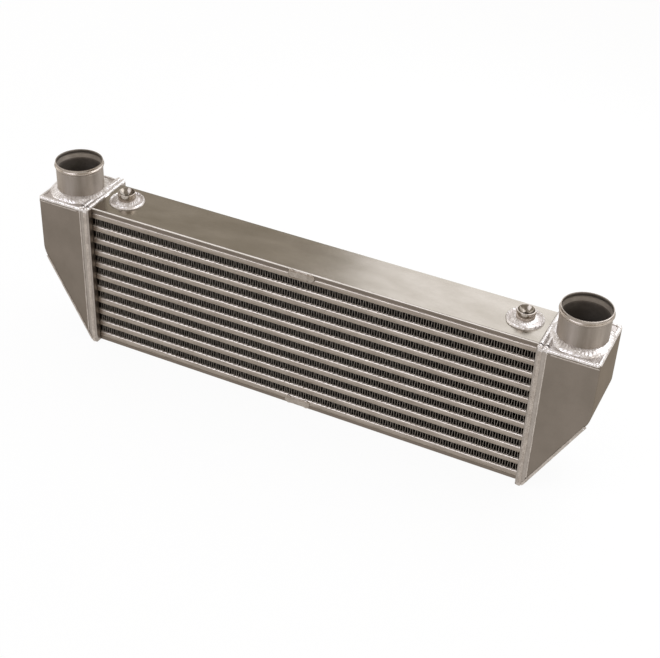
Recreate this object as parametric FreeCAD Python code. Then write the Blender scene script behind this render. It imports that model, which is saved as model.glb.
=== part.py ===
import FreeCAD, Part
import math
import os

# An air-to-air intercooler: a brazed bar-and-plate core between two welded sheet tanks,
# each with an upright hose pipe. Millimetres. X runs along the core, Y from front to back, Z up.
# The origin is at the middle of the underside.

# Core
core_length = 567.6  # between the inner faces of the two header rings
core_depth = 67.0
side_plate = 5.6
plate_round = 1.8
charge_passages = 11
charge_bar_height = 7.0
parting_sheet = 0.5
fin_row_height = 9.6
bar_width = 6.0
bar_bevel = 0.9
core_insert = 6.0  # how far the brazed stack runs into each header ring

# Corrugated sheets: the outer fins seen from the front, the inner fins inside the charge passages
fin_sheet = 0.3
fin_pitch = 14.0  # one whole wave
fin_end_gap = 0.3
fin_set_back = 0.6  # behind the front and rear faces of the bars
inner_fin_pitch = 13.0

# Tanks
ring_width = 12.0
ring_proud = 8.4  # how far ring and tank stand out beyond the core, front and rear
tank_sheet = 3.0
knee_height = 118.8
knee_radius = 12.0
stack_gap = 0.1  # between the stack's lower corner and the sloping sheet
edge_bevel = 1.7

# Hose pipes
pipe_radius = 28.5
pipe_wall = 2.1
pipe_end_gap = 4.8  # from the pipe's outside to the tank's end wall
pipe_stand = 39.5  # from the tank's top to the mouth
bead_below_mouth = 5.4
bead_swell = 1.7
bead_half = 2.8
bead_crest = 1.0  # half the height of the bead's crest
port_step = 1.0  # the port in the top plate is this much tighter than the pipe's bore
port_rim = 0.5  # least width of the top plate between its inner edge and the port

# Welds
pipe_weld_leg = 8.0
pipe_weld_rise = 6.5
boss_weld_leg = 11.0
boss_weld_rise = 5.0
seam_width = 6.5
seam_crown = 1.1
seam_margin = 0.3
patch_length = 35.0
patch_height = 11.8
patch_proud = 1.6
patch_bevel = 1.0

# Threaded bosses on the top side plate
boss_inset = 27.6  # from the core's end to the boss's centre
boss_back = 2.0  # behind the plate's centre line
boss_radius = 10.8
boss_height = 13.0
boss_chamfer = 1.6
thread_core_radius = 3.4
thread_depth = 10.0

# How far a cutting shape runs past what it cuts, and how close two places count as the same
overrun = 1.0
same_place = 0.001

# Worked out from the sizes above
passage = charge_bar_height + 2 * parting_sheet
row_pitch = passage + fin_row_height
core_height = 2 * side_plate + charge_passages * passage + (charge_passages - 1) * fin_row_height
stack_length = core_length + 2 * core_insert
half_depth = core_depth / 2
half_tank = half_depth + ring_proud
ring_top = core_height - side_plate
pipe_bore = pipe_radius - pipe_wall
mouth_height = core_height + pipe_stand
port_radius = pipe_bore - port_step
pipe_out = ring_width + port_rim + port_radius  # centre of the pipe beyond the core's end
tank_reach = pipe_out + pipe_radius + pipe_end_gap  # from the core's end to the tank's end wall
boss_spacing = core_length - 2 * boss_inset

# The slope's inner face just clears the lower corner of the stack, and its outer face meets the knee.
slope_run = tank_reach - core_insert - stack_gap
slope_rise = knee_height - side_plate
slope_lean = math.asin(tank_sheet / math.hypot(slope_run, slope_rise))
slope_angle = math.atan2(slope_rise, slope_run) + slope_lean
slope_foot = tank_reach - knee_height / math.tan(slope_angle)

X = FreeCAD.Vector(1, 0, 0)
Y = FreeCAD.Vector(0, 1, 0)
Z = FreeCAD.Vector(0, 0, 1)


def at(x, y, z):
    return FreeCAD.Vector(x, y, z)


def block(x0, x1, y0, y1, z0, z1):
    return Part.makeBox(x1 - x0, y1 - y0, z1 - z0, at(x0, y0, z0))


def moved(shape, x, y, z):
    copy = shape.copy()
    copy.translate(at(x, y, z))
    return copy


def runs_along(edge, axis):
    first, last = edge.Vertexes[0].Point, edge.Vertexes[-1].Point
    step = last - first
    return step.Length > 0 and abs(step.normalize().dot(axis)) > 1 - same_place


def joined_face(edges):
    return Part.Face(Part.Wire(edges))


def line(first, last):
    return Part.LineSegment(first, last).toShape()


def arc(first, middle, last):
    return Part.Arc(first, middle, last).toShape()


def save(name, shape):
    shape.exportStep("parts/" + name + ".step")


# Brazed core

def side_plate_solid():
    # A flat plate whose two long upper edges are rounded.
    plate = block(-core_length / 2, core_length / 2, -half_depth, half_depth, 0, side_plate)
    outer = [e for e in plate.Edges if runs_along(e, X) and e.CenterOfMass.z > side_plate / 2]
    return plate.makeFillet(plate_round, outer)


def front_bar():
    # One long bar that closes a charge passage, with its two outer edges eased.
    end = stack_length / 2
    bar = block(-end, end, -half_depth, bar_width - half_depth, 0, charge_bar_height)
    outer = [e for e in bar.Edges if runs_along(e, X) and e.CenterOfMass.y < -half_depth + bar_bevel / 2]
    return bar.makeChamfer(bar_bevel, outer)


def corrugation(length, pitch, height):
    # The outline of one corrugated sheet of zigzag waves, in the plane of its waves, centred on 0.
    waves = int(length / pitch)
    step = pitch / 2
    lean = math.atan2(height, step)
    upright = fin_sheet / math.cos(lean)
    start = -waves * pitch / 2
    lower = []
    for i in range(2 * waves + 1):
        lower.append((start + i * step, (i % 2) * (height - upright)))
    upper = [(u, w + upright) for u, w in reversed(lower)]
    return lower + upper


def closed(points):
    return Part.Face(Part.makePolygon(points + points[:1]))


def outer_fin_row():
    outline = corrugation(core_length - 2 * fin_end_gap, fin_pitch, fin_row_height)
    depth = half_depth - fin_set_back
    return closed([at(u, -depth, w) for u, w in outline]).extrude(Y * (2 * depth))


def inner_fin_row():
    # The same kind of sheet, with its waves across the core and its channels along it.
    outline = corrugation(core_depth - 2 * bar_width, inner_fin_pitch, charge_bar_height)
    start = -stack_length / 2
    return closed([at(start, u, w) for u, w in outline]).extrude(X * stack_length)


def end_bars():
    # The bars that close the outer fin rows at the right-hand end, inside the header ring.
    bars = []
    for row in range(charge_passages - 1):
        low = side_plate + passage + row * row_pitch
        inner = core_length / 2
        bars.append(block(inner, inner + core_insert, -half_depth, half_depth, low, low + fin_row_height))
    return bars


def build_core():
    plate = side_plate_solid()
    save("core_side_plate_top", moved(plate, 0, 0, ring_top))
    flipped = plate.mirror(at(0, 0, side_plate / 2), Z)
    save("core_side_plate_bottom", flipped)

    bar = front_bar()
    rear_bar = bar.mirror(at(0, 0, 0), Y)
    fins = outer_fin_row()
    inner_fins = inner_fin_row()
    sheet = block(-stack_length / 2, stack_length / 2, -half_depth, half_depth, 0, parting_sheet)
    sheets = []
    inner_rows = []
    for row in range(charge_passages):
        low = side_plate + row * row_pitch
        bar_low = low + parting_sheet
        bar_top = bar_low + charge_bar_height
        save("charge_bar_front_%02d" % (row + 1), moved(bar, 0, 0, bar_low))
        save("charge_bar_rear_%02d" % (row + 1), moved(rear_bar, 0, 0, bar_low))
        sheets.append(moved(sheet, 0, 0, low))
        sheets.append(moved(sheet, 0, 0, bar_top))
        inner_rows.append(moved(inner_fins, 0, 0, bar_low))
        if row < charge_passages - 1:
            save("outer_fins_%02d" % (row + 1), moved(fins, 0, 0, bar_top + parting_sheet))
    save("parting_sheets", Part.makeCompound(sheets))
    save("inner_fins", Part.makeCompound(inner_rows))
    save_pair("end_bars", end_bars())


# Tanks. Each is made at the right-hand end, with x measured from the core's end, then mirrored.

def save_pair(name, solids):
    group = Part.makeCompound(solids) if len(solids) > 1 else solids[0]
    save("right_" + name, group)
    save("left_" + name, group.mirror(at(0, 0, 0), X))


def tank_section(inset, top):
    # The tank's side view from the core's end outwards, with the slope, the knee and the end wall
    # set in by a given amount.
    radius = knee_radius - inset
    foot = slope_foot - inset / math.sin(slope_angle)
    wall = tank_reach - inset
    corner = (wall - foot) * math.tan(slope_angle)
    turn = math.pi / 2 - slope_angle
    tangent = radius * math.tan(turn / 2)
    bend_low = at(wall - tangent * math.cos(slope_angle), 0, corner - tangent * math.sin(slope_angle))
    bend_top = at(wall, 0, corner + tangent)
    middle = at(wall - radius + radius * math.cos(turn / 2), 0, bend_top.z - radius * math.sin(turn / 2))
    base, toe = at(0, 0, 0), at(foot, 0, 0)
    shoulder, back = at(wall, 0, top), at(0, 0, top)
    return joined_face([
        line(base, toe), line(toe, bend_low), arc(bend_low, middle, bend_top),
        line(bend_top, shoulder), line(shoulder, back), line(back, base),
    ])


def tank_prism(inset, top, half_width):
    prism = tank_section(inset, top).extrude(Y * (2 * half_width))
    return moved(prism, 0, -half_width, 0)


def header_ring():
    # A rectangular frame round the end of the stack, cut away below along the sloping sheet.
    frame = block(0, ring_width, -half_tank, half_tank, 0, core_height)
    opening = block(-overrun, ring_width + overrun, -half_depth, half_depth, side_plate, ring_top)
    return frame.cut(opening).common(tank_prism(tank_sheet, core_height, half_tank + overrun))


def front_panel():
    # A flat five-sided sheet with a rounded knee.
    plane = tank_section(tank_sheet, core_height - tank_sheet).extrude(Y * tank_sheet)
    beyond_ring = block(ring_width, tank_reach, -overrun, tank_sheet + overrun, 0, core_height)
    return moved(plane.common(beyond_ring), 0, -half_tank, 0)


def end_wrap():
    # One strip folded at the knee: the end wall above it and the slope below.
    width = half_tank - tank_sheet
    top = core_height - tank_sheet
    return tank_prism(0, top, width).cut(tank_prism(tank_sheet, core_height, width + overrun))


def top_plate():
    width = half_tank - tank_sheet
    plate = block(ring_width, tank_reach - tank_sheet, -width, width, core_height - tank_sheet, core_height)
    port = Part.makeCylinder(port_radius, tank_sheet, at(pipe_out, 0, core_height - tank_sheet))
    return plate.cut(port)


def edge_weld(wrap, plate):
    # The welds fill the open corners between the tank's sheets and are dressed to a bevel outside.
    body = tank_prism(0, core_height, half_tank)
    sides = [e for e in body.Edges if abs(abs(e.CenterOfMass.y) - half_tank) < same_place]
    outline = [e for e in sides if min(e.CenterOfMass.x, e.CenterOfMass.z) > same_place]
    across = [e for e in body.Edges if runs_along(e, Y) and e.CenterOfMass.z > ring_top]
    shoulder = [e for e in across if e.CenterOfMass.x > tank_reach - same_place]
    body = body.makeChamfer(edge_bevel, outline + shoulder)
    beyond = half_tank + overrun
    inside = tank_prism(tank_sheet, core_height - tank_sheet, beyond)
    ring_zone = tank_prism(tank_sheet, core_height, beyond)
    ring_zone = ring_zone.common(block(0, ring_width, -beyond, beyond, 0, core_height))
    return body.cut(inside).cut(ring_zone).cut(wrap).cut(plate)


def bead_section(start, across, out, width, crown):
    # A low dome on a flat seat.
    first = start - across * (width / 2)
    last = start + across * (width / 2)
    return joined_face([line(last, first), arc(first, start + out * crown, last)])


def ring_beads(pipe_weld):
    # Upright beads down the ring's front and rear faces, and two beads across its top.
    centre = seam_margin + seam_width / 2
    outer_edge = seam_margin + seam_width
    inner_foot = slope_foot - tank_sheet / math.sin(slope_angle)
    low = (outer_edge - inner_foot) * math.tan(slope_angle) + seam_margin
    top = core_height - seam_margin
    section = bead_section(at(centre, -half_tank, low), X, Y * -1, seam_width, seam_crown)
    front = section.extrude(Z * (top - low))
    beads = [front, front.mirror(at(0, 0, 0), Y)]
    span = half_tank - seam_margin
    pipe = Part.makeCylinder(pipe_radius, pipe_stand, at(pipe_out, 0, core_height))
    for offset in (centre, centre + seam_width + seam_margin):
        section = bead_section(at(offset, -span, core_height), X, Z, seam_width, seam_crown)
        beads.append(section.extrude(Y * (2 * span)).cut(pipe).cut(pipe_weld))
    return [solid for bead in beads for solid in bead.Solids]


def fillet_weld(radius, leg, rise):
    # A ring of weld with a sloping face round the foot of a tube.
    section = closed([at(radius, 0, 0), at(radius + leg, 0, 0), at(radius, 0, rise)])
    return section.revolve(at(0, 0, 0), Z, 360)


def pipe_foot_weld():
    ring = moved(fillet_weld(pipe_radius, pipe_weld_leg, pipe_weld_rise), pipe_out, 0, core_height)
    limit = tank_reach - edge_bevel
    keep = block(0, limit, -half_tank, half_tank, core_height, mouth_height)
    return ring.common(keep)


def hose_pipe():
    # One turned section: straight wall, swelling bead, short straight lip. The wall keeps its thickness,
    # so the bead shows inside the mouth as a groove.
    bead = pipe_stand - bead_below_mouth
    line_up = [
        (0, 0), (bead - bead_half, 0), (bead - bead_crest, bead_swell),
        (bead + bead_crest, bead_swell), (bead + bead_half, 0), (pipe_stand, 0),
    ]
    outside = [at(pipe_radius + swell, 0, height) for height, swell in line_up]
    inside = [at(pipe_bore + swell, 0, height) for height, swell in reversed(line_up)]
    return moved(closed(outside + inside).revolve(at(0, 0, 0), Z, 360), pipe_out, 0, core_height)


def build_tanks():
    wrap = end_wrap()
    plate = top_plate()
    panel = front_panel()
    foot_weld = pipe_foot_weld()
    pieces = {
        "header_ring": [header_ring()],
        "tank_front_panel": [panel],
        "tank_rear_panel": [panel.mirror(at(0, 0, 0), Y)],
        "tank_end_wrap": [wrap],
        "tank_top_plate": [plate],
        "seam_welds": edge_weld(wrap, plate).Solids + ring_beads(foot_weld),
    }
    for name, solids in pieces.items():
        save_pair(name, [moved(solid, core_length / 2, 0, 0) for solid in solids])
    for name, solid in {"hose_pipes": hose_pipe(), "pipe_welds": foot_weld}.items():
        right = moved(solid, core_length / 2, 0, 0)
        save(name, Part.makeCompound([right, right.mirror(at(0, 0, 0), X)]))


# Bosses and weld patches

def boss():
    # A turned boss with a blind threaded hole.
    floor = boss_height - thread_depth
    outline = [
        (0, 0), (boss_radius, 0), (boss_radius, boss_height - boss_chamfer),
        (boss_radius - boss_chamfer, boss_height), (thread_core_radius, boss_height),
        (thread_core_radius, floor), (0, floor),
    ]
    return closed([at(u, 0, w) for u, w in outline]).revolve(at(0, 0, 0), Z, 360)


def weld_patch():
    # A round-ended pad of weld on the core's front face, over the side plate's edge and the first bar.
    half = patch_length / 2 - patch_height / 2
    end = patch_height / 2
    section = joined_face([
        line(at(-half, 0, 0), at(half, 0, 0)),
        arc(at(half, 0, 0), at(half + end, 0, end), at(half, 0, patch_height)),
        line(at(half, 0, patch_height), at(-half, 0, patch_height)),
        arc(at(-half, 0, patch_height), at(-half - end, 0, end), at(-half, 0, 0)),
    ])
    pad = section.extrude(Y * -patch_proud)
    face_edges = [e for e in pad.Edges if e.CenterOfMass.y < same_place - patch_proud]
    return moved(pad.makeChamfer(patch_bevel, face_edges), 0, -half_depth, 0)


def build_fittings():
    turned = boss()
    ring = fillet_weld(boss_radius, boss_weld_leg, boss_weld_rise)
    places = (-boss_spacing / 2, boss_spacing / 2)
    save("threaded_bosses", Part.makeCompound([moved(turned, x, boss_back, core_height) for x in places]))
    save("boss_welds", Part.makeCompound([moved(ring, x, boss_back, core_height) for x in places]))
    low = moved(weld_patch(), 0, 0, seam_margin)
    high = low.mirror(at(0, 0, core_height / 2), Z)
    save("weld_patches", Part.makeCompound([low, high]))


os.makedirs("parts", exist_ok=True)
build_core()
build_tanks()
build_fittings()
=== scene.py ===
import math
import bmesh
import bpy
from mathutils import Euler, Matrix, Vector


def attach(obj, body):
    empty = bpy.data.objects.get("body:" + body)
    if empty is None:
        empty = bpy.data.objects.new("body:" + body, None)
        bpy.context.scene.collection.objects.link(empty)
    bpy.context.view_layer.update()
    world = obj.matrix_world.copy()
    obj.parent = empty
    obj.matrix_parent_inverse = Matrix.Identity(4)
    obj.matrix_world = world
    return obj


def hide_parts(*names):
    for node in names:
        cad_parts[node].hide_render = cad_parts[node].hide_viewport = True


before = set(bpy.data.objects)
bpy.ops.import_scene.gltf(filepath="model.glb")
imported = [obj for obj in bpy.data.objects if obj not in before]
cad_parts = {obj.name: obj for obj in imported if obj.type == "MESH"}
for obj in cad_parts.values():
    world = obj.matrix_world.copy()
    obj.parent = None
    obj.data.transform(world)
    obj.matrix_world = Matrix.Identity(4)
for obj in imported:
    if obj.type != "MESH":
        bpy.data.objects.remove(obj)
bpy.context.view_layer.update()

mm = 0.001
near = 0.1  # mm, to find a place that was made exactly
roughly = 1.0  # mm, to find one that is only known roughly
touching = 0.01  # mm, corners this close are merged

# sizes in mm, the same as the solids have
core = {
    "length": 567.6, "insert": 6.0, "halfDepth": 33.5, "height": 195.2,
    "sidePlate": 5.6, "passages": 11, "barHeight": 7.0, "sheet": 0.5, "finHeight": 9.6,
}
tank = {
    "halfWidth": 41.9, "reach": 71.2, "ringWidth": 12.0, "wall": 3.0,
    "slopeAngle": 61.4, "slopeFoot": 6.48, "kneeHeight": 118.8, "pipePlace": 37.9,
}
coreEnd = core["length"] / 2
coreTop = core["height"]
rowPitch = core["barHeight"] + 2 * core["sheet"] + core["finHeight"]
firstBar = core["sidePlate"] + core["sheet"]
pipeX = coreEnd + tank["pipePlace"]
slope = math.radians(tank["slopeAngle"])


def at(x, y, z):
    return Vector((x, y, z)) * mm


def alone(piece):
    bpy.ops.object.select_all(action="DESELECT")
    piece.select_set(True)
    bpy.context.view_layer.objects.active = piece


def edit(piece):
    alone(piece)
    bpy.ops.object.mode_set(mode="EDIT")


def done():
    bpy.ops.object.mode_set(mode="OBJECT")


# the next four work in edit mode
def pick(piece, kind, test):
    # selects the corners, edges or faces whose middle and corners, in mm, pass the test
    bpy.ops.mesh.select_mode(type=kind)
    bpy.ops.mesh.select_all(action="DESELECT")
    mesh = bmesh.from_edit_mesh(piece.data)
    for part in {"VERT": mesh.verts, "EDGE": mesh.edges, "FACE": mesh.faces}[kind]:
        corners = [part] if kind == "VERT" else part.verts
        places = [corner.co / mm for corner in corners]
        if test(sum(places, Vector()) / len(places), places):
            part.select_set(True)
    bmesh.update_edit_mesh(piece.data)


def pickOpenEdges():
    bpy.ops.mesh.select_all(action="DESELECT")
    bpy.ops.mesh.select_mode(type="EDGE")
    bpy.ops.mesh.select_non_manifold()


def drawOut(x, y, z):
    bpy.ops.mesh.extrude_region_move(TRANSFORM_OT_translate={"value": at(x, y, z)})


def faceOutwards():
    bpy.ops.mesh.select_all(action="SELECT")
    bpy.ops.mesh.normals_make_consistent(inside=False)


def started(name):
    piece = bpy.context.object
    piece.name = name
    piece.data.name = name
    return piece


def cube(name, low, high):
    bpy.ops.object.select_all(action="DESELECT")
    middle, size = (at(*low) + at(*high)) / 2, at(*high) - at(*low)
    bpy.ops.mesh.primitive_cube_add(size=1, location=middle, scale=size)
    piece = started(name)
    bpy.ops.object.transform_apply(location=True, rotation=True, scale=True)
    return piece


def shaped(piece, kind, **settings):
    # adds one modifier and applies it
    alone(piece)
    modifier = piece.modifiers.new(kind, kind)
    for name, value in settings.items():
        setattr(modifier, name, value)
    bpy.ops.object.modifier_apply(modifier=modifier.name)


def repeated(piece, count, pitch):
    # copies along x, merged where they touch
    shaped(piece, "ARRAY", count=count, use_relative_offset=False, use_constant_offset=True,
           constant_offset_displace=at(pitch, 0, 0), use_merge_vertices=True,
           merge_threshold=touching * mm)


def cloud(name, size):
    texture = bpy.data.textures.new(name, "CLOUDS")
    texture.noise_scale = size * mm
    return texture


def wandered(piece, texture, strength, direction="NORMAL", **limits):
    # moves the surface to and fro with a cloud, by up to half the strength, in mm
    shaped(piece, "DISPLACE", texture=texture, strength=strength * mm, mid_level=0.5,
           direction=direction, texture_coords="LOCAL", **limits)


def smooth(piece, degrees=35):
    alone(piece)
    bpy.ops.object.shade_smooth_by_angle(angle=math.radians(degrees))


def smoothFlat(piece, degrees=35):
    # smooth over the rounded edges only: the large faces keep their own flat shading
    smooth(piece, degrees)
    shaped(piece, "WEIGHTED_NORMAL", mode="FACE_AREA", weight=100, keep_sharp=True)


def twin(piece, name, x=0, y=0, z=0):
    # a copy with its own mesh, moved inside its mesh
    made = piece.copy()
    made.data = piece.data.copy()
    made.name = made.data.name = name
    bpy.context.collection.objects.link(made)
    made.data.transform(Matrix.Translation(at(x, y, z)))
    return made


def mirrored(piece, name, axis):
    # the opposite copy, with its faces turned outwards again
    made = twin(piece, name)
    made.data.transform(Matrix.Diagonal([-1 if side == axis else 1 for side in "XYZ"] + [1]))
    made.data.flip_normals()
    return made


def joined(pieces, name):
    bpy.ops.object.select_all(action="DESELECT")
    for piece in pieces:
        piece.select_set(True)
    bpy.context.view_layer.objects.active = pieces[0]
    bpy.ops.object.join()
    return started(name)


def dressed(piece, material, slotName, *nodes):
    piece.data.materials.clear()
    piece.data.materials.append(material)
    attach(piece, "root")
    if nodes:
        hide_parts(*nodes)


def finished(piece, material, test):
    # a second finish on the faces whose middle, in mm, and direction pass the test
    piece.data.materials.append(material)
    for face in piece.data.polygons:
        if test(face.center / mm, face.normal):
            face.material_index = len(piece.data.materials) - 1


def linear(code):
    parts = [int(code[i:i + 2], 16) / 255 for i in (1, 3, 5)]
    return [c / 12.92 if c <= 0.04045 else ((c + 0.055) / 1.055) ** 2.4 for c in parts] + [1]


def addNode(tree, kind, inputs, **settings):
    made = tree.nodes.new("ShaderNode" + kind)
    for name, value in settings.items():
        setattr(made, name, value)
    for name, value in inputs.items():
        if isinstance(value, bpy.types.NodeSocket):
            tree.links.new(value, made.inputs[name])
        else:
            made.inputs[name].default_value = value
    return made


# what all the metals share: how broken up the drift and the grain are, the stretch of the pattern
# over which the tones change, and the stretch of the grain over which the roughness does
pattern = {
    "drift": {"Scale": 1.0, "Detail": 4.0, "Roughness": 0.6},
    "grain": {"Scale": 1.0, "Detail": 3.0, "Roughness": 0.65},
    "tones": (0.35, 0.65), "roughness": (0.25, 0.75),
    # the way that the gloss of a turned metal is drawn out: up, and the slight lean keeps it
    # defined on level faces
    "upright": {0: 0.06, 1: 0.03, 2: 1.0},
}


def metal(name, look):
    # bare aluminium: two tones that drift over the surface, a grain of its own size and direction,
    # a roughness that follows the grain, an oxide skin that dims the gloss seen edge-on, and a
    # frosty skin of its own share that scatters the light; sizes are in mm
    made = bpy.data.materials.new(name)
    made.use_nodes = True
    tree = made.node_tree
    tree.nodes.clear()
    place = addNode(tree, "TexCoord", {}).outputs["Object"]
    drift = addNode(tree, "Mapping", {
        "Vector": place, "Scale": [1 / mm / size for size in look["driftSize"]],
    })
    blotch = addNode(tree, "TexNoise", {"Vector": drift.outputs[0], **pattern["drift"]})
    run = addNode(tree, "Mapping", {
        "Vector": place, "Scale": [1 / mm / size for size in look["grainSize"]],
    })
    grain = addNode(tree, "TexNoise", {"Vector": run.outputs[0], **pattern["grain"]}).outputs["Fac"]
    mixed = addNode(tree, "Mix", {0: look["streak"], 2: blotch.outputs["Fac"], 3: grain})
    tone = addNode(tree, "ValToRGB", {"Fac": mixed.outputs[0]})
    for i, side in enumerate(("dark", "light")):
        tone.color_ramp.elements[i].position = pattern["tones"][i]
        tone.color_ramp.elements[i].color = linear(look[side])
    rough = addNode(tree, "MapRange", {
        "Value": grain,
        "From Min": pattern["roughness"][0], "From Max": pattern["roughness"][1],
        "To Min": look["roughness"][0], "To Max": look["roughness"][1],
    })
    bump = addNode(tree, "Bump", {
        "Height": grain, "Strength": look["bump"], "Distance": look["bumpHeight"] * mm,
    })
    turned = {}
    if "turned" in look:
        upright = addNode(tree, "CombineXYZ", pattern["upright"])
        turned = {"Anisotropic": look["turned"], "Tangent": upright.outputs[0]}
    shader = addNode(tree, "BsdfPrincipled", {
        "Base Color": tone.outputs["Color"], "Metallic": 1 - look["frost"],
        "Specular Tint": linear(look["edge"]), "Roughness": rough.outputs["Result"],
        "Normal": bump.outputs["Normal"], **turned,
    })
    addNode(tree, "OutputMaterial", {"Surface": shader.outputs[0]})
    return made


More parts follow.
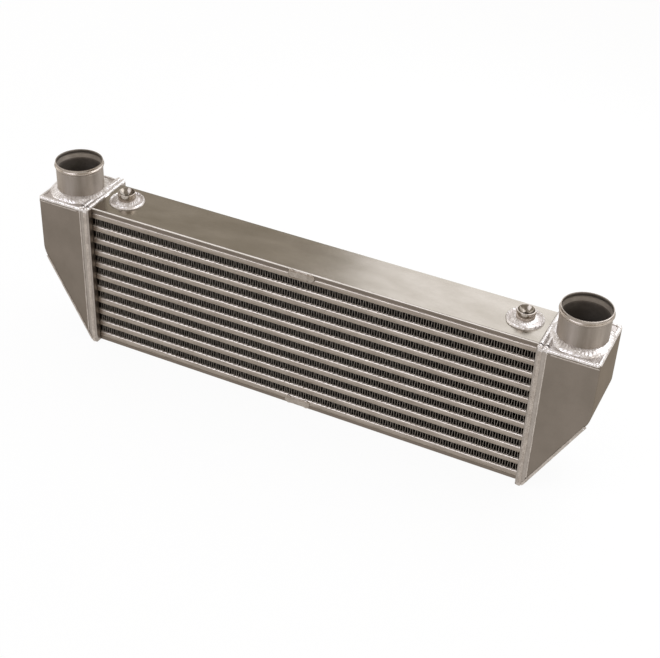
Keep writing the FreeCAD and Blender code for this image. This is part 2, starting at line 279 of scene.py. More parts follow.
materials = {
    # cold-rolled sheet with a fine brushed finish: semi-gloss, soft mirror
    "plate": metal("brushedSidePlate", {
        "dark": "#8f887d", "light": "#9f988e", "edge": "#e6e3df", "frost": 0,
        "driftSize": (60, 30, 40), "grainSize": (3, 1.6, 1.6), "streak": 0.25,
        "roughness": (0.18, 0.26), "bump": 0.1, "bumpHeight": 0.04,
    }),
    # the same sheet where it was sheared: duller and darker
    "cut": metal("shearedPlateEdge", {
        "dark": "#6f655c", "light": "#82776d", "edge": "#dad6d0", "frost": 0,
        "driftSize": (30, 8, 4), "grainSize": (18, 0.8, 0.5), "streak": 0.6,
        "roughness": (0.38, 0.5), "bump": 0.3, "bumpHeight": 0.08,
    }),
    # extruded bar: drawn lines along its length, flux and heat have dulled it unevenly
    "bar": metal("extrudedBar", {
        "dark": "#857a70", "light": "#aea499", "edge": "#e6e3df", "frost": 0,
        "driftSize": (26, 5, 3), "grainSize": (22, 0.9, 0.6), "streak": 0.55,
        "roughness": (0.22, 0.4), "bump": 0.4, "bumpHeight": 0.08,
    }),
    # the ledge along the top of a bar: a lighter, frostier tone on its upward faces, a painted
    # highlight
    "ledgeHighlight": metal("ledgePaintedHighlight", {
        "dark": "#aea499", "light": "#dcd5cd", "edge": "#efece8", "frost": 0.25,
        "driftSize": (14, 5, 3), "grainSize": (12, 0.9, 0.6), "streak": 0.5,
        "roughness": (0.28, 0.42), "bump": 0.2, "bumpHeight": 0.05,
    }),
    # thin brazed fin stock: dull and greyed by the furnace, and darker still as painted shade in
    # the gaps
    "fin": metal("finSheetPaintedShade", {
        "dark": "#6c645b", "light": "#958c82", "edge": "#e6e3df", "frost": 0,
        "driftSize": (9, 9, 6), "grainSize": (1.2, 3, 0.8), "streak": 0.3,
        "roughness": (0.4, 0.55), "bump": 0.2, "bumpHeight": 0.1,
    }),
    # cut edges of the same stock, with beads of braze metal on them, and lighter as a painted
    # highlight
    "finEdge": metal("finEdgeBrazeAndHighlight", {
        "dark": "#8a8178", "light": "#b3aaa0", "edge": "#e6e3df", "frost": 0.2,
        "driftSize": (9, 9, 6), "grainSize": (1.2, 3, 0.8), "streak": 0.3,
        "roughness": (0.36, 0.5), "bump": 0.2, "bumpHeight": 0.1,
    }),
    # clad parting sheet: satin edge with a skin of braze metal
    "sheet": metal("brazedPartingSheet", {
        "dark": "#8c8277", "light": "#b2a89d", "edge": "#e6e3df", "frost": 0,
        "driftSize": (8, 8, 2), "grainSize": (3, 1, 0.4), "streak": 0.4,
        "roughness": (0.3, 0.45), "bump": 0.2, "bumpHeight": 0.08,
    }),
    # hand-finished sheet of the tanks: satin, sanded lightly, clouded by handling
    "tank": metal("satinTankSheet", {
        "dark": "#7a7167", "light": "#877d73", "edge": "#cdc4b8", "frost": 0,
        "driftSize": (40, 40, 55), "grainSize": (1.4, 1.4, 2.2), "streak": 0.35,
        "roughness": (0.4, 0.52), "bump": 0.2, "bumpHeight": 0.06,
    }),
    # the same sheet on top, brushed clean before the pipe was welded in
    "clean": metal("wiredTankTop", {
        "dark": "#aaa29c", "light": "#cdc6c1", "edge": "#e6e3df", "frost": 0.3,
        "driftSize": (9, 9, 9), "grainSize": (3.5, 3.5, 3.5), "streak": 0.4,
        "roughness": (0.38, 0.5), "bump": 0.25, "bumpHeight": 0.15,
    }),
    # welding frame of the core end: bar stock wiped clean before welding
    "ring": metal("wipedFrameBar", {
        "dark": "#958c83", "light": "#aea59d", "edge": "#e6e3df", "frost": 0,
        "driftSize": (7, 7, 16), "grainSize": (7, 7, 1.8), "streak": 0.5,
        "roughness": (0.32, 0.46), "bump": 0.5, "bumpHeight": 0.15,
    }),
    # the bead and the lip of the pipe, rolled bright
    "rolled": metal("rolledBead", {
        "dark": "#968c82", "light": "#b7ada3", "edge": "#efece8", "frost": 0.05,
        "driftSize": (16, 16, 8), "grainSize": (2, 2, 0.6), "streak": 0.2,
        "roughness": (0.24, 0.3), "bump": 0.03, "bumpHeight": 0.01,
    }),
    # drawn pipe: long soft bands from the draw, and a fine grain round it that spreads the gloss
    # up and down
    "pipe": metal("drawnPipe", {
        "dark": "#938a80", "light": "#aca299", "edge": "#e6e3df", "frost": 0, "turned": 0.9,
        "driftSize": (14, 14, 120), "grainSize": (2, 2, 0.6), "streak": 0.2,
        "roughness": (0.48, 0.56), "bump": 0.12, "bumpHeight": 0.04,
    }),
    # unpolished inside of the pipe: grey and scattering, and painted darker as the shade inside it
    "bore": metal("borePaintedShade", {
        "dark": "#706860", "light": "#857e76", "edge": "#e6e3df", "frost": 0.2,
        "driftSize": (15, 15, 8), "grainSize": (1.5, 1.5, 0.8), "streak": 0.3,
        "roughness": (0.5, 0.62), "bump": 0.2, "bumpHeight": 0.06,
    }),
    # inside of the mouth: a lighter frosted band, painted light where the light falls in over the
    # lip
    "mouth": metal("mouthPaintedLight", {
        "dark": "#9b9288", "light": "#b3aa9f", "edge": "#e6e3df", "frost": 0.45,
        "driftSize": (12, 12, 12), "grainSize": (1.5, 1.5, 0.5), "streak": 0.3,
        "roughness": (0.36, 0.5), "bump": 0.2, "bumpHeight": 0.06,
    }),
    # turned bar: polished by the tool
    "boss": metal("turnedBoss", {
        "dark": "#a0968c", "light": "#bfb6ad", "edge": "#f3f2f0", "frost": 0,
        "driftSize": (4, 4, 3), "grainSize": (3, 3, 0.35), "streak": 0.3,
        "roughness": (0.1, 0.18), "bump": 0.1, "bumpHeight": 0.03,
    }),
    # inside of the boss, left as the drill made it, and painted darker as the shade in the hole
    "holeShade": metal("bossHolePaintedShade", {
        "dark": "#736b61", "light": "#9d958b", "edge": "#f3f2f0", "frost": 0,
        "driftSize": (3, 3, 3), "grainSize": (2, 2, 0.5), "streak": 0.4,
        "roughness": (0.14, 0.24), "bump": 0.2, "bumpHeight": 0.05,
    }),
    # fresh filler metal: bright ripples under a frosty white skin
    "weld": metal("brightWeld", {
        "dark": "#bdb6b1", "light": "#ebe7e4", "edge": "#f3f2f0", "frost": 0.3,
        "driftSize": (4, 4, 4), "grainSize": (0.9, 0.9, 0.9), "streak": 0.3,
        "roughness": (0.24, 0.36), "bump": 0.12, "bumpHeight": 0.06,
    }),
    # the same filler on the upright seams, brushed and greyed
    "brushed": metal("brushedWeld", {
        "dark": "#958b82", "light": "#c8bfb6", "edge": "#e6e3df", "frost": 0.2,
        "driftSize": (5, 5, 9), "grainSize": (1.5, 1.5, 0.9), "streak": 0.5,
        "roughness": (0.28, 0.42), "bump": 0.2, "bumpHeight": 0.08,
    }),
    # filler melted flat into the bars and greyed by the heat
    "melted": metal("meltedPatch", {
        "dark": "#8f857b", "light": "#ada399", "edge": "#e6e3df", "frost": 0,
        "driftSize": (6, 6, 4), "grainSize": (1.5, 1.5, 1), "streak": 0.3,
        "roughness": (0.22, 0.34), "bump": 0.2, "bumpHeight": 0.1,
    }),
}
print("materials ready")


def eased(piece, test, offset, segments, profile=0.5):
    # rounds or chamfers the edges that pass the test
    edit(piece)
    pick(piece, "EDGE", test)
    bpy.ops.mesh.bevel(offset=offset * mm, segments=segments, profile=profile, affect="EDGES")
    done()


# sheared is how squarely a face looks to the front or the back to count as cut
sidePlate = {"chamfer": 1.3, "steps": 4, "flatness": 0.3, "sheared": 0.95}


def makeSidePlates():
    depth, thick = core["halfDepth"], core["sidePlate"]
    plate = cube("sidePlateTop", (-coreEnd, -depth, coreTop - thick), (coreEnd, depth, coreTop))
    longEdges = lambda middle, ends: abs(middle.x) < roughly and middle.z > coreTop - roughly
    eased(plate, longEdges, sidePlate["chamfer"], sidePlate["steps"], sidePlate["flatness"])
    smoothFlat(plate)
    low = twin(plate, "sidePlateBottom", z=-coreTop)
    low.data.transform(Matrix.Diagonal([1, 1, -1, 1]))
    low.data.flip_normals()
    for piece, node in ((plate, "core_side_plate_top"), (low, "core_side_plate_bottom")):
        dressed(piece, materials["plate"], "side_plate_sheet", node)
        finished(piece, materials["cut"], lambda middle, out: abs(out.y) > sidePlate["sheared"])


chargeBar = {
    # the section seen from its end, as (back from the face, up): a sloping ledge above, a shallow
    # groove along the middle of the face, and a lip below it
    "section": [(6, 0), (0.5, 0), (0.1, 0.2), (0, 0.55), (0.1, 0.85), (0.45, 1.4), (0.5, 1.8),
                (0.3, 4.2), (0.32, 4.5), (0.5, 4.8), (0.95, 5.3), (1.5, 5.8), (2.1, 6.1),
                (2.7, 6.25), (2.9, 7), (6, 7)],
    # the first few mm of the bar wander a little, while its brazed back stays straight
    "cuts": 90, "waveSize": 9, "wave": 0.3, "nose": 2.6,
    # the least that a face looks up, and to the front or back, to get the ledge's painted highlight
    "highlightUp": 0.7, "highlightOut": 0.3,
}


def makeBars():
    end, depth = coreEnd + core["insert"], core["halfDepth"]
    section = chargeBar["section"]
    bpy.ops.object.select_all(action="DESELECT")
    bpy.ops.mesh.primitive_circle_add(vertices=len(section), radius=mm, fill_type="NGON")
    plain = started("plainBar")
    for corner, (back, up) in zip(plain.data.vertices, section):
        corner.co = at(-end, back - depth, up)
    edit(plain)
    bpy.ops.mesh.select_all(action="SELECT")
    drawOut(2 * end, 0, 0)
    pick(plain, "EDGE", lambda middle, ends: abs(middle.x) < roughly)
    bpy.ops.mesh.subdivide(number_cuts=chargeBar["cuts"])
    faceOutwards()
    done()
    wave = cloud("barWave", chargeBar["waveSize"])
    noseEnd, barEnd = (chargeBar["nose"] - depth) * mm, (end - roughly) * mm
    # the faces of the ledge get the painted highlight
    bright = lambda middle, out: (
        out.z > chargeBar["highlightUp"] and abs(out.y) > chargeBar["highlightOut"])
    for row in range(core["passages"]):
        bar = twin(plain, "chargeBarFront%02d" % (row + 1), z=firstBar + row * rowPitch)
        nose = [v.index for v in bar.data.vertices if v.co.y < noseEnd and abs(v.co.x) < barEnd]
        bar.vertex_groups.new(name="nose").add(nose, 1.0, "REPLACE")
        wandered(bar, wave, chargeBar["wave"], vertex_group="nose")
        bar.vertex_groups.clear()
        smoothFlat(bar, degrees=50)
        rear = mirrored(bar, "chargeBarRear%02d" % (row + 1), "Y")
        dressed(bar, materials["bar"], "extruded_bar", "charge_bar_front_%02d" % (row + 1))
        dressed(rear, materials["bar"], "extruded_bar", "charge_bar_rear_%02d" % (row + 1))
        for piece in (bar, rear):
            finished(piece, materials["ledgeHighlight"], bright)
    bpy.data.objects.remove(plain)


fin = {
    "sheet": 0.36, "setBack": 0.7, "jitter": 0.16, "fillet": 0.4,
    # one wave, from the middle of one trough to the next, as (along the row, up)
    "pitch": 6.4, "crest": 9.3,
    "wave": [(0, 0), (0.85, 0), (1.3, 0.45), (1.95, 8.85), (2.35, 9.3), (4.05, 9.3), (4.45, 8.85),
             (5.1, 0.45), (5.55, 0), (6.4, 0)],
    # how squarely a face looks to the front or the back to be a cut edge with the painted highlight
    "cutEdge": 0.6,
}


def makeFins():
    depth = core["halfDepth"] - fin["setBack"]
    waves = int(core["length"] / fin["pitch"])
    start = -waves * fin["pitch"] / 2
    # a strip as deep as the core is drawn out along the wave, edge by edge
    bpy.ops.object.select_all(action="DESELECT")
    bpy.ops.mesh.primitive_plane_add(size=1)
    wave = started("finWave")
    points = fin["wave"]
    for corner in wave.data.vertices:
        u, w = points[0] if corner.co.x < 0 else points[1]
        corner.co = at(u, math.copysign(depth, corner.co.y), w)
    edit(wave)
    for (u0, w0), (u1, w1) in zip(points[1:], points[2:]):
        pick(wave, "EDGE", lambda middle, ends: (
            abs(middle.x - u0) < near and abs(middle.z - w0) < near and abs(middle.y) < roughly))
        drawOut(u1 - u0, 0, w1 - w0)
    # braze metal has run out of each trough, over the edge of the sheet
    for side in (-1, 1):
        pick(wave, "EDGE", lambda middle, ends: (
            middle.y * side > depth - near and middle.z < near))
        drawOut(0, side * fin["fillet"], -fin["fillet"])
    done()
    repeated(wave, waves, fin["pitch"])
    for row in range(core["passages"] - 1):
        low = firstBar + core["barHeight"] + core["sheet"] + row * rowPitch + fin["sheet"] / 2
        strip = twin(wave, "outerFins%02d" % (row + 1), x=start, z=low)
        edit(strip)
        pick(strip, "VERT", lambda middle, ends: low + near < middle.z < low + fin["crest"] - near)
        bpy.ops.transform.vertex_random(
            offset=fin["jitter"] * mm, uniform=1.0, normal=0.0, seed=row + 3)
        done()
        shaped(strip, "SOLIDIFY", thickness=fin["sheet"] * mm, offset=0, use_even_offset=True)
        smooth(strip, degrees=40)
        # the fin stock is painted darker as the shade deep between the legs
        dressed(strip, materials["fin"], "fin_sheet", "outer_fins_%02d" % (row + 1))
        # the cut edges of the legs get the painted highlight
        finished(strip, materials["finEdge"], lambda middle, out: abs(out.y) > fin["cutEdge"])
    bpy.data.objects.remove(wave)


# the sheet below a bar ends flush with its lip, the one above it further back
partingSheet = {"setBack": (0.25, 1.6), "edge": 0.12, "edgeSteps": 2}


def makePartingSheets():
    end = coreEnd + core["insert"]
    sheets = []
    for row in range(core["passages"]):
        for low, setBack in zip((-core["sheet"], core["barHeight"]), partingSheet["setBack"]):
            if row == core["passages"] - 1:
                setBack = partingSheet["setBack"][0]
            base, depth = firstBar + row * rowPitch + low, core["halfDepth"] - setBack
            sheets.append(cube("sheet", (-end, -depth, base), (end, depth, base + core["sheet"])))
    made = joined(sheets, "partingSheets")
    shaped(made, "BEVEL", width=partingSheet["edge"] * mm, segments=partingSheet["edgeSteps"],
           limit_method="ANGLE")
    smoothFlat(made)
    dressed(made, materials["sheet"], "fin_sheet", "parting_sheets")


makeSidePlates()
makeBars()
makePartingSheets()
makeFins()
print("core ready")


def cutAlongSlope(piece, inset=0):
    # takes off what lies outside the sloping sheet
    edit(piece)
    bpy.ops.mesh.select_all(action="SELECT")
    out = Vector((math.sin(slope), 0, -math.cos(slope)))
    foot = at(coreEnd + tank["slopeFoot"], 0, 0) - out * inset * mm
    bpy.ops.mesh.bisect(plane_co=foot, plane_no=out, use_fill=True, clear_outer=True)
    done()


# overlap is how far the cutter of the opening stands out of the ring at each end
ring = {"edge": 1.5, "edgeSteps": 3, "overlap": 5}


def makeRing():
    width, half = tank["ringWidth"], tank["halfWidth"]
    made = cube("rightHeaderRing", (coreEnd, -half, 0), (coreEnd + width, half, coreTop))
    cutAlongSlope(made)
    depth, plate, overlap = core["halfDepth"], core["sidePlate"], ring["overlap"]
    hole = cube("ringHole", (coreEnd - overlap, -depth, plate),
                (coreEnd + width + overlap, depth, coreTop - plate))
    cutAlongSlope(hole, tank["wall"])
    shaped(made, "BOOLEAN", object=hole, operation="DIFFERENCE", solver="EXACT")
    bpy.data.objects.remove(hole)
    shaped(made, "BEVEL", width=ring["edge"] * mm, segments=ring["edgeSteps"],
           limit_method="ANGLE", angle_limit=math.radians(40))
    smoothFlat(made, degrees=50)
    return made


shell = {
    "corner": 2.4, "cornerSteps": 4, "knee": 7.5, "kneeSteps": 10,
    "port": 25.4, "portSides": 96, "portDepth": 20,
    # the clean finish: the least that a face looks up, and how far below the top it reaches
    "cleanUp": 0.6, "cleanDepth": 2,
}


def makeShell():
    reach, half = coreEnd + tank["reach"], tank["halfWidth"]
    inner = coreEnd + tank["ringWidth"]
    made = cube("rightTankShell", (inner, -half, 0), (reach, half, coreTop))
    cutAlongSlope(made)
    knee = lambda middle, ends: (
        abs(middle.x - reach) < roughly and abs(middle.y) < roughly
        and abs(middle.z - tank["kneeHeight"]) < roughly)
    eased(made, knee, shell["knee"], shell["kneeSteps"])
    rim = lambda middle, ends: middle.x > inner + near and (
        abs(abs(middle.y) - half) < near
        or (abs(middle.x - reach) < near and middle.z > coreTop - near))
    eased(made, rim, shell["corner"], shell["cornerSteps"])
    edit(made)
    pick(made, "FACE", lambda middle, ends: (
        abs(middle.x - inner) < near and max(p.x for p in ends) < inner + near))
    bpy.ops.mesh.delete(type="FACE")
    done()
    shaped(made, "SOLIDIFY", thickness=tank["wall"] * mm, offset=-1, use_even_offset=True)
    bpy.ops.object.select_all(action="DESELECT")
    bpy.ops.mesh.primitive_cylinder_add(
        vertices=shell["portSides"], radius=shell["port"] * mm, depth=shell["portDepth"] * mm,
        location=at(pipeX, 0, coreTop))
    port = started("portCutter")
    bpy.ops.object.transform_apply(location=True)
    shaped(made, "BOOLEAN", object=port, operation="DIFFERENCE", solver="EXACT")
    bpy.data.objects.remove(port)
    smoothFlat(made, degrees=30)
    return made


weldWander = cloud("weldWander", 7)
weldSpread = cloud("weldSpread", 11)
ripple = {
    # one ripple along the bead, as (share of its length, share of its lift): rises fast, falls
    # slowly
    "steps": [(0, 0), (0.15, 0.7), (0.4, 1), (0.75, 0.65), (1, 0)], "rows": 4,
    # bow of the middle in ripple lengths, random roughness, and how deep a bead is let in
    "sag": 1.1, "jitter": 0.08, "seat": 0.4,
    # every bead takes its own place in the clouds, so many mm on for each seed
    "ownPlace": (7, 3),
    # in a ring the ripples have their true length this far across, the two ends are merged over
    # this gap, and this share of its width keeps to the tube
    "trueAt": 0.6, "closing": 0.25, "steady": 0.15,
}


def strip(name, section, length, pitch, lift, seed):
    # one ripple is shaped on a small grid, then repeated: section lists (across, up) in mm
    columns, rows = len(section) - 1, ripple["rows"]
    count = max(2, round(length / pitch))
    pitch = length / count
    bpy.ops.object.select_all(action="DESELECT")
    bpy.ops.mesh.primitive_grid_add(x_subdivisions=rows, y_subdivisions=columns, size=1)
    made = started(name)
    for corner in made.data.vertices:
        row, column = round((corner.co.x + 0.5) * rows), round((corner.co.y + 0.5) * columns)
        along, raised = ripple["steps"][row]
        across, up = section[column]
        # ripples bow forwards in the middle and fade out at the toes
        t = 2 * column / columns - 1
        body = 1 - t * t
        bowed = pitch * (along + ripple["sag"] * body)
        corner.co = at(bowed, across, up + raised * lift * body ** 0.5)
    repeated(made, count, pitch)
    edit(made)
    bpy.ops.mesh.select_all(action="SELECT")
    bpy.ops.transform.vertex_random(
        offset=ripple["jitter"] * mm, uniform=1.0, normal=0.0, seed=seed)
    done()
    return made


def closedBelow(made):
    # gives a bead its sides and its underside
    edit(made)
    pickOpenEdges()
    drawOut(0, 0, -ripple["seat"])
    bpy.ops.mesh.edge_face_add()
    faceOutwards()
    done()


def dome(width, crown, columns=8):
    # the section of a bead, as (across, up)
    turns = [math.pi / 2 * (2 * i / columns - 1) for i in range(columns + 1)]
    return [(width / 2 * math.sin(turn), crown * math.cos(turn)) for turn in turns]


def bead(start, end, out, seed, width, crown, pitch, lift, wander):
    # a straight bead from start to end, in mm, with its crown towards out
    start, end, out = Vector(start), Vector(end), Vector(out).normalized()
    along = (end - start).normalized()
    made = strip("bead", dome(width, crown), (end - start).length, pitch, lift, seed)
    closedBelow(made)
    ownPlace = at(*[step * seed for step in ripple["ownPlace"]], 0)
    made.data.transform(Matrix.Translation(ownPlace))
    wandered(made, weldWander, wander, "Z")
    wandered(made, weldSpread, wander, "Y")
    made.data.transform(Matrix.Translation(-ownPlace))
    turn = Matrix((along, out.cross(along), out)).transposed().to_4x4()
    made.data.transform(Matrix.Translation(start * mm) @ turn)
    return made


def collar(name, look, x, y, radius, seed):
    # a ring of weld round a tube: its section lists (out from the tube, up), from the tube to the
    # toe
    section, width = look["section"], look["section"][-1][0]
    length = 2 * math.pi * (radius + width * ripple["trueAt"])
    made = strip(name, section, length, look["pitch"], look["lift"], seed)
    for corner in made.data.vertices:
        turn = 2 * math.pi * corner.co.x / (length * mm)
        reach = radius * mm + corner.co.y
        corner.co = Vector((reach * math.cos(turn), reach * math.sin(turn), corner.co.z))
    edit(made)
    bpy.ops.mesh.select_all(action="SELECT")
    bpy.ops.mesh.remove_doubles(threshold=ripple["closing"] * mm)
    pickOpenEdges()
    bpy.ops.mesh.bridge_edge_loops()
    faceOutwards()
    done()
    # the toe wanders in and out, while the edge at the tube stays
    toe = made.vertex_groups.new(name="toe")
    for corner in made.data.vertices:
        out = (corner.co.xy.length / mm - radius) / width
        toe.add([corner.index], min(1, max(0, out - ripple["steady"])), "REPLACE")
    made.data.transform(Matrix.Translation(at(x, y, coreTop)))
    wandered(made, weldWander, look["wander"])
    for side in ("X", "Y"):
        wandered(made, weldSpread, look["spread"], side, vertex_group="toe")
    made.vertex_groups.clear()
    return made


def blob(place, out, width, rise):
    # the rounded end of a bead, where the arc was broken
    bpy.ops.object.select_all(action="DESELECT")
    bpy.ops.mesh.primitive_uv_sphere_add(segments=16, ring_count=8, radius=width / 2 * mm)
    made = started("blob")
    turn = Vector(out).to_track_quat("Z", "Y").to_matrix().to_4x4()
    flat = Matrix.Diagonal((1, 1, 2 * rise / width, 1))
    made.data.transform(Matrix.Translation(at(*place)) @ turn @ flat)
    return made


seams = {
    # bead is (width, crown, ripple pitch, ripple lift, wander), short is how far it stays from the
    # start and the end of its edge, in and down are how far it lies from the side and the top, and
    # out is the way that its crown looks, as (outwards, up)
    "upright": {"bead": (5.2, 0.55, 1.9, 0.5, 0.25), "short": (1.6, 2), "margin": 2.1},
    "lap": {"bead": (1.8, 0.4, 4.0, 0.15, 0.5), "short": (2, 5)},
    "rim": {"bead": (5.0, 1.6, 3.0, 0.3, 0.7), "short": (4, 4.2), "in": 1.7, "down": 1.1,
            "out": (0.6, 0.8)},
    "fold": {"bead": (1.5, 0.35, 4.0, 0.1, 0.2), "short": (13, 5), "down": 4.9},
    "slope": {"bead": (3.6, 0.5, 2.6, 0.2, 0.4), "from": 66.5, "to": 9.2, "in": 0.4, "tilt": 0.5},
    "across": {"bead": (6.4, 2.6, 3.4, 0.3, 0.7), "short": (3, 3), "places": (3.55, 10.35)},
    "shoulder": {"bead": (5.0, 1.5, 3.0, 0.3, 0.5), "short": (4, 4), "in": 2.0, "down": 0.6,
                 "out": (0.35, 0.94)},
    # lumps of filler where two beads meet, as (width, rise)
    "cornerLump": {"size": (6.0, 1.9), "in": 5.2, "down": 0.9, "inwards": 0.99,
                   "out": (0.5, 0.87)},
    "rearLump": {"size": (7.6, 2.6), "in": 4.5},
    # the end of a bead is this much larger than the bead, and those that lie this far below the
    # top are brushed
    "swell": 1.08, "brushedBelow": 3.8,
}


def makeSeams(seed):
    half, reach = tank["halfWidth"], coreEnd + tank["reach"]
    foot = coreEnd + tank["slopeFoot"]
    height = lambda x: max(0.0, (x - foot) * math.tan(slope))
    parts = []

    def add(kind, start, end, out):
        size = seams[kind]["bead"]
        parts.append(bead(start, end, out, seed + len(parts), *size))
        for place in (start, end):
            parts.append(blob(place, out, size[0] * seams["swell"], size[1] * seams["swell"]))

    for y in (-1, 1):
        side = y * half
        low, high = seams["upright"]["short"]
        wide = seams["upright"]["bead"][0] / 2
        x = coreEnd + seams["upright"]["margin"] + wide
        add("upright", (x, side, height(x + wide) + low), (x, side, coreTop - high), (0, y, 0))
        # where the panel laps on to the ring
        low, high = seams["lap"]["short"]
        x = coreEnd + tank["ringWidth"]
        add("lap", (x, side, height(x) + low), (x, side, coreTop - high), (0, y, 0))
        # along the top edge, rolled over the corner
        rim, lump = seams["rim"], seams["cornerLump"]
        edge, z = y * (half - rim["in"]), coreTop - rim["down"]
        add("rim", (coreEnd + rim["short"][0], edge, z), (reach - rim["short"][1], edge, z),
            (0, y * rim["out"][0], rim["out"][1]))
        place = (reach - lump["in"], edge * lump["inwards"], coreTop - lump["down"])
        parts.append(blob(place, (0, y * lump["out"][0], lump["out"][1]), *lump["size"]))
        # the folded edge of the panel shows below that bead
        fold = seams["fold"]
        z = coreTop - fold["down"]
        add("fold", (coreEnd + fold["short"][0], side, z), (reach - fold["short"][1], side, z),
            (0, y, 0))
        # down the slope
        down = seams["slope"]
        high, low, edge = coreEnd + down["from"], coreEnd + down["to"], y * (half - down["in"])
        add("slope", (high, edge, height(high)), (low, edge, height(low)),
            (math.sin(slope) * down["tilt"], y, -math.cos(slope) * down["tilt"]))
    # over both joints of the ring, from side to side
    front, rear = seams["across"]["short"]
    lump = seams["rearLump"]
    for x in [coreEnd + place for place in seams["across"]["places"]]:
        add("across", (x, -half + front, coreTop), (x, half - rear, coreTop), (0, 0, 1))
        parts.append(blob((x, half - lump["in"], coreTop), (0, 0, 1), *lump["size"]))
    # across the end of the top plate
    shoulder = seams["shoulder"]
    rear, front = shoulder["short"]
    x, z = reach - shoulder["in"], coreTop - shoulder["down"]
    out, up = shoulder["out"]
    add("shoulder", (x, half - rear, z), (x, -half + front, z), (out, 0, up))
    made = joined(parts, "rightSeamWelds")
    smooth(made, degrees=60)
    return made


hosePipe = {
    "radius": 28.5, "sides": 96,
    # (out from the pipe's radius, up from its foot): up the outside with its rolled bead, over
    # the lip
    "outside": [(0, 0), (0, 14), (0, 29.8), (0.25, 30.4), (0.3, 31.2), (0.05, 31.9), (0.1, 32.6),
                (0.7, 33.2), (1.3, 33.9), (1.55, 34.7), (1.35, 35.4), (0.8, 36), (0.2, 36.4),
                (0, 37), (0.1, 37.8), (0.35, 38.6), (0.2, 39.3), (-0.4, 39.5)],
    # and down the inside, past the groove behind the bead
    "inside": [(-0.95, 39.45), (-1.3, 39.0), (-1.35, 38.0), (-1.15, 36.4), (-0.75, 35.2),
               (-0.6, 34.4), (-0.75, 33.6), (-1.3, 31.6), (-1.9, 29.4), (-2.3, 27.9), (-2.4, 27.0),
               (-2.4, 10), (-2.4, 0)],
    # heights of the bright outside, and of the inside band with the painted light
    "bright": 33, "paintedLightBand": (30, 35.6),
}


def makePipe():
    radius, centre = hosePipe["radius"], at(pipeX, 0, coreTop)
    bpy.ops.object.select_all(action="DESELECT")
    bpy.ops.mesh.primitive_circle_add(
        vertices=hosePipe["sides"], radius=radius * mm, location=centre)
    made = started("rightHosePipe")
    bpy.ops.object.transform_apply(location=True)
    edit(made)
    bpy.ops.mesh.select_all(action="SELECT")
    section = hosePipe["outside"] + hosePipe["inside"]
    for (swell0, z0), (swell1, z1) in zip(section, section[1:]):
        drawOut(0, 0, z1 - z0)
        grow = (radius + swell1) / (radius + swell0)
        bpy.ops.transform.resize(value=(grow, grow, 1), center_override=centre)
    pickOpenEdges()
    bpy.ops.mesh.bridge_edge_loops()
    faceOutwards()
    done()
    smooth(made, degrees=40)
    return made


# limit is how far from the core the weld may reach, where it is dressed flush with the end wall
pipeWeld = {
    "section": [(-0.6, 4.9), (0.4, 4.7), (1.6, 4.3), (3.2, 3.7), (4.9, 3.0), (6.5, 2.2), (8.0, 1.3),
                (9.0, 0.5), (9.5, -0.3)],
    "pitch": 4.2, "lift": 0.45, "wander": 1.5, "spread": 3.4, "limit": 70.2,
}


def makePipeWeld(seed):
    made = collar("rightPipeWeld", pipeWeld, pipeX, 0, hosePipe["radius"], seed)
    edit(made)
    bpy.ops.mesh.select_all(action="SELECT")
    bpy.ops.mesh.bisect(plane_co=at(coreEnd + pipeWeld["limit"], 0, 0), plane_no=(1, 0, 0),
                        use_fill=True, clear_outer=True)
    done()
    smooth(made, degrees=60)
    return made


boss = {
    "x": 256.2, "y": 2, "radius": 10.8, "height": 13, "edge": 0.6, "edgeSteps": 3, "sides": 64,
    # down the inside, as (radius, depth below the top): a wide dish, then the blind hole
    "inside": [(9.7, 0), (9.2, 0.7), (7.6, 2.6), (5.6, 4.6), (4.2, 5.4), (3.4, 6), (3.4, 10)],
}


def makeBoss():
    x, y, top = boss["x"], boss["y"], coreTop + boss["height"]
    bpy.ops.object.select_all(action="DESELECT")
    bpy.ops.mesh.primitive_cylinder_add(
        vertices=boss["sides"], radius=boss["radius"] * mm, depth=boss["height"] * mm,
        location=at(x, y, top - boss["height"] / 2))
    made = started("rightBoss")
    bpy.ops.object.transform_apply(location=True)
    onTop = lambda middle, ends: min(p.z for p in ends) > top - near
    eased(made, onTop, boss["edge"], boss["edgeSteps"])
    edit(made)
    pick(made, "FACE", lambda middle, ends: onTop(middle, ends) and len(ends) == boss["sides"])
    inside = boss["inside"]
    bpy.ops.mesh.inset(thickness=(boss["radius"] - boss["edge"] - inside[0][0]) * mm)
    for (radius0, depth0), (radius1, depth1) in zip(inside, inside[1:]):
        drawOut(0, 0, depth0 - depth1)
        bpy.ops.transform.resize(
            value=(radius1 / radius0, radius1 / radius0, 1), center_override=at(x, y, top))
    done()
    smooth(made, degrees=40)
    return made


bossWeld = {
    "section": [(-0.4, 3.9), (0.5, 3.6), (1.8, 3.2), (3.4, 2.6), (5.0, 1.5), (6.2, 0.4), (7.6, 0.3),
                (8.4, 1.4), (9.3, 2.4), (10.2, 1.9), (10.9, -0.2)],
    "pitch": 4.2, "lift": 0.6, "wander": 0.8, "spread": 1.2,
    # bare plate shows between the weld and its outer bead, except at the front: its radii, and how
    # far forward it reaches
    "bare": (15.6, 18.6), "bareFront": -7,
}


def makeBossWeld(seed):
    made = collar("rightBossWeld", bossWeld, boss["x"], boss["y"], boss["radius"], seed)
    smooth(made, degrees=60)
    return made


patch = {
    "length": 35, "edges": (0.3, 12.1), "lumps": 8, "skin": 0.5, "sunk": 0.4, "wander": 0.8,
    # each lump lies up to rise mm above or below the middle, turn radians on from the last
    "rise": 0.4, "turn": 5,
    # of half the height, how wide and how tall a lump is, and how far it stands out in mm
    "inner": {"wide": 0.8, "tall": 0.86, "proud": 1.7},
    "outer": {"wide": 0.95, "tall": 0.98, "proud": 2.6},
    "smoothing": 0.5, "passes": 6,
}


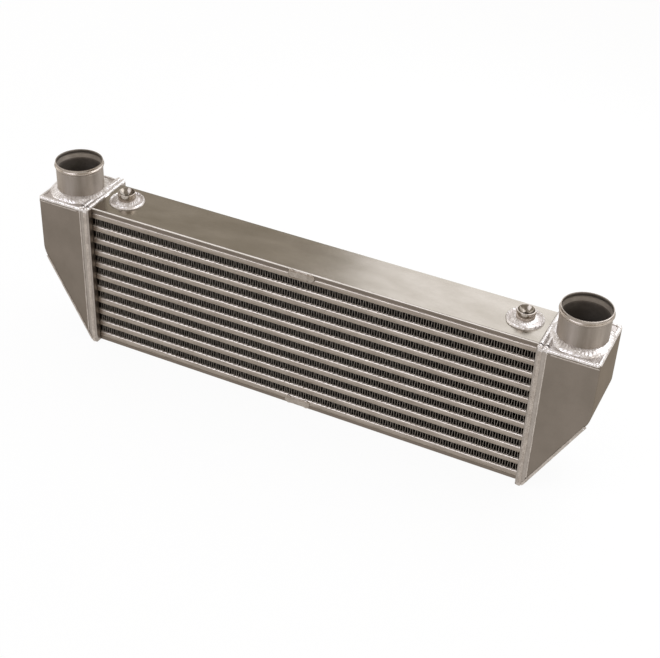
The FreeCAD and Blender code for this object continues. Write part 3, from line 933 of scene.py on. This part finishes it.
def makePatch(name, low, high):
    # a row of lumps of filler, melted into one
    lumps = []
    middle, tall = (low + high) / 2, (high - low) / 2
    reach = patch["length"] / 2 - tall
    for i in range(patch["lumps"]):
        t = 2 * i / (patch["lumps"] - 1) - 1
        look = patch["outer" if abs(t) == 1 else "inner"]
        bpy.ops.object.select_all(action="DESELECT")
        bpy.ops.mesh.primitive_uv_sphere_add(
            segments=24, ring_count=12, radius=mm,
            location=at(t * reach, patch["sunk"] - core["halfDepth"],
                        middle + patch["rise"] * math.sin(patch["turn"] * i)))
        lump = started("lump")
        lump.scale = (tall * look["wide"], look["proud"], tall * look["tall"])
        bpy.ops.object.transform_apply(location=True, scale=True)
        lumps.append(lump)
    made = joined(lumps, name)
    shaped(made, "REMESH", mode="VOXEL", voxel_size=patch["skin"] * mm)
    shaped(made, "SMOOTH", factor=patch["smoothing"], iterations=patch["passes"])
    wandered(made, weldWander, patch["wander"])
    smooth(made, degrees=90)
    dressed(made, materials["melted"], "weld", "weld_patches")


def bothSides(made, material, slotName, *nodes):
    # the right piece and its mirror image, where {} in a node's name is the side
    left = mirrored(made, made.name.replace("right", "left"), "X")
    for piece, side in ((made, "right"), (left, "left")):
        dressed(piece, materials[material], slotName, *[node.format(side) for node in nodes])
    return (made, 1), (left, -1)


bothSides(makeRing(), "ring", "tank_sheet", "{}_header_ring")
for piece, side in bothSides(
        makeShell(), "tank", "tank_sheet", "{}_tank_front_panel", "{}_tank_rear_panel",
        "{}_tank_end_wrap", "{}_tank_top_plate"):
    finished(piece, materials["clean"], lambda middle, out: (
        out.z > shell["cleanUp"] and middle.z > coreTop - shell["cleanDepth"]))
print("tank shells ready")
for piece, side in bothSides(makeSeams(seed=11), "weld", "weld", "{}_seam_welds"):
    finished(piece, materials["brushed"], lambda middle, out: (
        middle.z < coreTop - seams["brushedBelow"]))
bothSides(makePipeWeld(seed=71), "weld", "weld", "pipe_welds")
for piece, side in bothSides(makePipe(), "pipe", "turned_pipe", "hose_pipes"):
    inward = lambda middle, out: (middle.x - side * pipeX) * out.x + middle.y * out.y < 0
    paintedLightBand = lambda middle, out: inward(middle, out) and (
        hosePipe["paintedLightBand"][0] < middle.z - coreTop < hosePipe["paintedLightBand"][1])
    bright = lambda middle, out: (
        not inward(middle, out) and middle.z - coreTop > hosePipe["bright"])
    # the inside of the pipe is painted darker as the shade in it
    finished(piece, materials["bore"], inward)
    # a band inside the mouth is painted lighter as the light that falls in there
    finished(piece, materials["mouth"], paintedLightBand)
    finished(piece, materials["rolled"], bright)
for piece, side in bothSides(makeBoss(), "boss", "turned_boss", "threaded_bosses"):
    # all that faces the middle of the hole gets the painted shade
    finished(piece, materials["holeShade"], lambda middle, out: (
        (middle.x - side * boss["x"]) * out.x + (middle.y - boss["y"]) * out.y < -near))
for piece, side in bothSides(makeBossWeld(seed=91), "weld", "weld", "boss_welds"):
    finished(piece, materials["clean"], lambda middle, out: middle.y > bossWeld["bareFront"] and (
        bossWeld["bare"][0] < math.hypot(middle.x - side * boss["x"], middle.y - boss["y"])
        < bossWeld["bare"][1]))
low, high = patch["edges"]
makePatch("weldPatchTop", coreTop - high, coreTop - low)
makePatch("weldPatchBottom", low, high)
print("welds, pipes and bosses ready")

# nodes of the solids that keep their own shape
for nodeName, finish in {
    "left_end_bars": "bar", "right_end_bars": "bar", "inner_fins": "fin",
}.items():
    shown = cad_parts[nodeName]
    shown.data.materials.clear()
    shown.data.materials.append(materials[finish])


def whiteToTheEye(tree):
    # 1 for what the camera, a mirror or glass sees, 0 for light that falls on the object
    path = addNode(tree, "LightPath", {}).outputs
    seen = addNode(tree, "Math", {
        0: path["Is Camera Ray"], 1: path["Is Glossy Ray"]}, operation="MAXIMUM")
    return addNode(tree, "Math", {
        0: seen.outputs[0], 1: path["Is Transmission Ray"]}, operation="MAXIMUM").outputs[0]


studio = {
    # how bright the room is by height, from the horizon to overhead: a slightly warm room, lit by
    # softboxes
    "room": [(0, "#ece7e1"), (0.35, "#e0dad2"), (0.6, "#d9d2c8"), (0.85, "#d0c9c0"),
             (1, "#c8c1b9")],
    # size and drop in m, and the share of the shadow that the eye sees on it
    "floor": {"size": 12, "drop": 0.0003, "colour": "#f2f2f2", "shade": 0.07},
    # name, place round the object (azimuth from the front, height angle, distance in m), width and
    # height in m, brightness where a white wall is 1, colour
    "lamps": [
        ("frontSoftbox", -29, 50, 3.8, 3.0, 1.7, 2.9, "#e8eeff"),
        ("backSoftbox", 166.6, 38.5, 1.0, 0.98, 0.6, 1.85, "#ebf2ff"),
        ("rightSoftbox", 80, 15, 2.0, 1.2, 0.8, 1.4, "#ffffff"),
        ("leftSoftbox", -80, 15, 2.0, 1.2, 0.8, 1.2, "#ffffff"),
        ("rearRightSoftbox", 121, 34, 2.2, 1.2, 1.1, 1.1, "#f2f6ff"),
        ("topRightSoftbox", 114, 53, 0.85, 0.5, 0.4, 2.7, "#f2f6ff"),
        ("rearLeftSoftbox", -114, 34, 2.2, 1.0, 1.1, 1.0, "#f2f6ff"),
    ],
    # the place that they are turned to, in m
    "aim": (0, 0, 0.1),
}


def makeStudio():
    world = bpy.data.worlds.new("studio")
    bpy.context.scene.world = world
    world.use_nodes = True
    tree = world.node_tree
    tree.nodes.clear()
    ray = addNode(tree, "TexCoord", {})
    split = addNode(tree, "SeparateXYZ", {0: ray.outputs["Generated"]})
    level = addNode(tree, "ValToRGB", {"Fac": split.outputs["Z"]})
    ramp = level.color_ramp.elements
    while len(ramp) < len(studio["room"]):
        ramp.new(0.5)
    for stop, (place, colour) in zip(ramp, studio["room"]):
        stop.position, stop.color = place, linear(colour)
    room = addNode(tree, "Background", {"Color": level.outputs["Color"], "Strength": 1.0})
    addNode(tree, "OutputWorld", {"Surface": room.outputs[0]})

    look = studio["floor"]
    floorPaint = bpy.data.materials.new("whiteFloor")
    floorPaint.use_nodes = True
    tree = floorPaint.node_tree
    tree.nodes.clear()
    paint = addNode(tree, "BsdfDiffuse", {"Color": linear(look["colour"])})
    glow = addNode(tree, "Emission", {"Color": linear("#ffffff"), "Strength": 1.0})
    seen = addNode(tree, "MixShader", {
        0: 1 - look["shade"], 1: paint.outputs[0], 2: glow.outputs[0]})
    mix = addNode(tree, "MixShader", {
        0: whiteToTheEye(tree), 1: paint.outputs[0], 2: seen.outputs[0]})
    addNode(tree, "OutputMaterial", {"Surface": mix.outputs[0]})
    bpy.ops.object.select_all(action="DESELECT")
    bpy.ops.mesh.primitive_plane_add(size=look["size"], location=(0, 0, -look["drop"]))
    floor = started("floor")
    floor.data.materials.append(floorPaint)

    for name, azimuth, height, distance, wide, tall, bright, colour in studio["lamps"]:
        a, e = math.radians(azimuth), math.radians(height)
        towards = Vector((math.sin(a) * math.cos(e), -math.cos(a) * math.cos(e), math.sin(e)))
        light = bpy.data.lights.new(name, "AREA")
        light.shape, light.size, light.size_y = "RECTANGLE", wide, tall
        light.energy = bright * math.pi * wide * tall
        light.color = linear(colour)[:3]
        lamp = bpy.data.objects.new(name, light)
        bpy.context.collection.objects.link(lamp)
        lamp.location = Vector(studio["aim"]) + towards * distance
        lamp.rotation_euler = towards.to_track_quat("Z", "Y").to_euler()
        lamp.visible_camera = False


# angles in degrees, distance and target in mm, the clip in m
view = {
    "azimuth": 24.1, "elevation": 35.44, "roll": 2.93, "distance": 1583.83,
    "target": (29.52, 0, 104.11), "lens": 72.8, "sensor": 36, "shiftX": -0.0062,
    "clip": (0.05, 50),
}


def makeCamera():
    lens = bpy.data.cameras.new("camera")
    lens.sensor_width, lens.lens, lens.shift_x = view["sensor"], view["lens"], view["shiftX"]
    lens.clip_start, lens.clip_end = view["clip"]
    camera = bpy.data.objects.new("camera", lens)
    bpy.context.collection.objects.link(camera)
    tilt, azimuth = math.radians(90 - view["elevation"]), math.radians(view["azimuth"])
    aim = Euler((tilt, 0, azimuth)).to_matrix()
    aim = aim @ Matrix.Rotation(math.radians(view["roll"]), 3, "Z")
    camera.rotation_euler = aim.to_euler()
    camera.location = at(*view["target"]) + aim.col[2] * view["distance"] * mm
    bpy.context.scene.camera = camera


makeStudio()
makeCamera()
bpy.context.scene.view_settings.view_transform = "Standard"
print("studio ready")

print("done")
